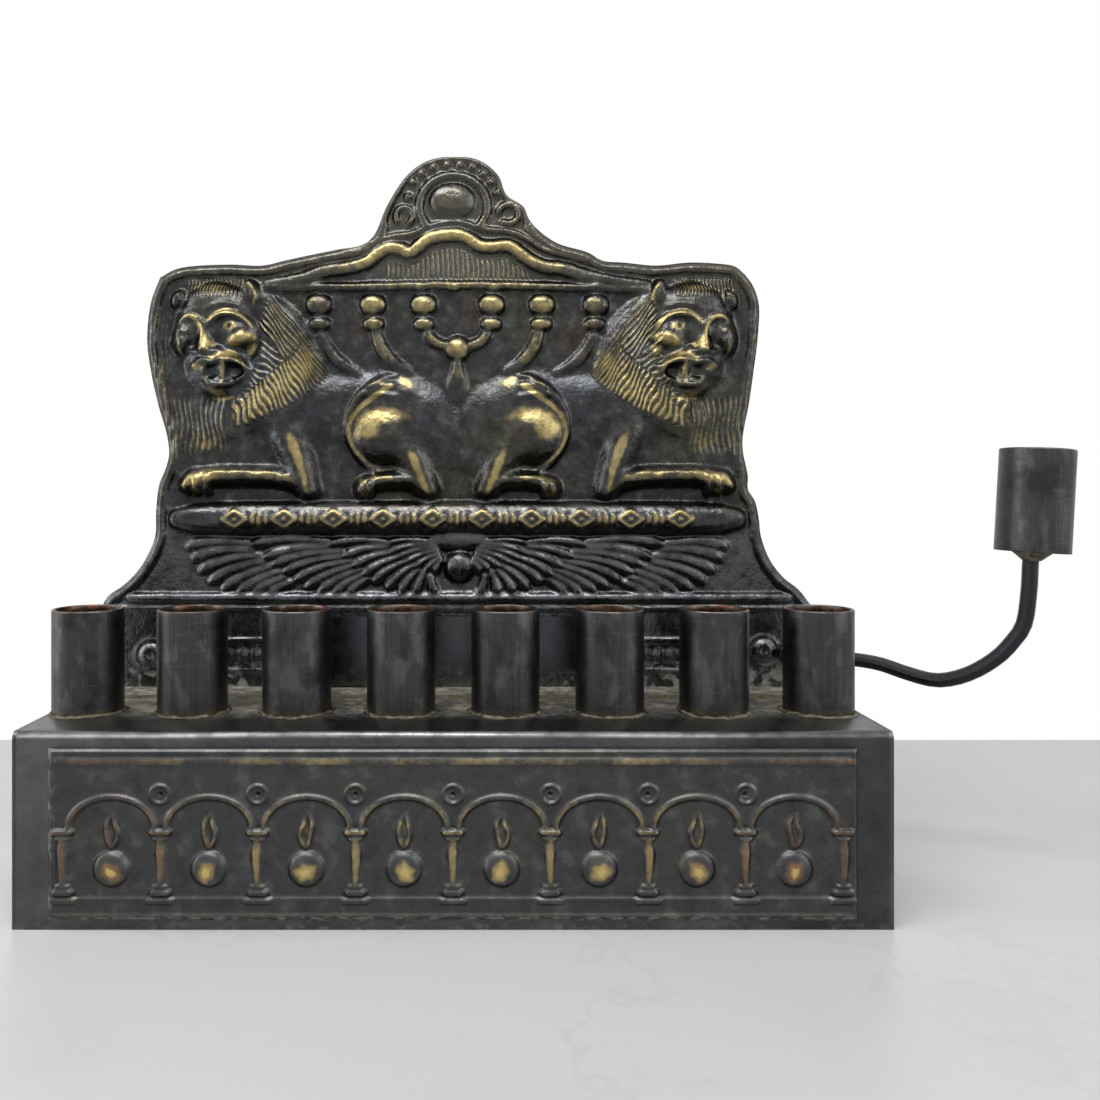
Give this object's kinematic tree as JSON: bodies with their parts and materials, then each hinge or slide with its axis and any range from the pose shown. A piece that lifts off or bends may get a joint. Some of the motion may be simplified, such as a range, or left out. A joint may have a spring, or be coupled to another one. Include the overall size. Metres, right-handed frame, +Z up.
{
  "type": "hanukkah menorah",
  "caption": "Hanukkah menorah of patinated brass: box base with an arcade in relief, a row of tube cups, a pressed backplate with lions, and a raised cup on a bent side arm.",
  "frame": {"origin": "middle of the whole lamp's box, at table level", "axes": "+X to the right seen from the front, towards the ninth cup; +Y to the rear; +Z up; the arcade and the pressed picture face -Y"},
  "size_m": [0.3134, 0.063, 0.2374],
  "materials": {
    "base": "dark brown patina, satin, brass showing where it is rubbed",
    "plate": "near-black patina in the hollows, rubbed to dull gold on the raised forms",
    "plaque": "brown patina with copper-red and gold highlights and some verdigris",
    "cup": "gunmetal patina with brushed vertical streaks, coppery rims",
    "arm": "smooth dark grey patina",
    "solder": "dull matt grey solder with ochre and green crust"
  },
  "bodies": {
    "root": {"base_shell": "base", "base_end_left": "base", "base_end_right": "base", "seam_solder_left": "solder", "seam_solder_right": "solder", "front_plaque": "plaque", "plaque_solder": "solder", "backplate": "plate", "foot_solder": "solder", "centre_plate": "plate", "cup_1": "cup", "solder_ring_1": "solder", "cup_2": "cup", "solder_ring_2": "solder", "cup_3": "cup", "solder_ring_3": "solder", "cup_4": "cup", "solder_ring_4": "solder", "cup_5": "cup", "solder_ring_5": "solder", "cup_6": "cup", "solder_ring_6": "solder", "cup_7": "cup", "solder_ring_7": "solder", "cup_8": "cup", "solder_ring_8": "solder", "shamash_arm": "arm", "shamash_collar": "solder", "shamash_root_solder": "solder", "shamash_cup": "cup", "shamash_floor": "cup"}
  },
  "joints": []
}
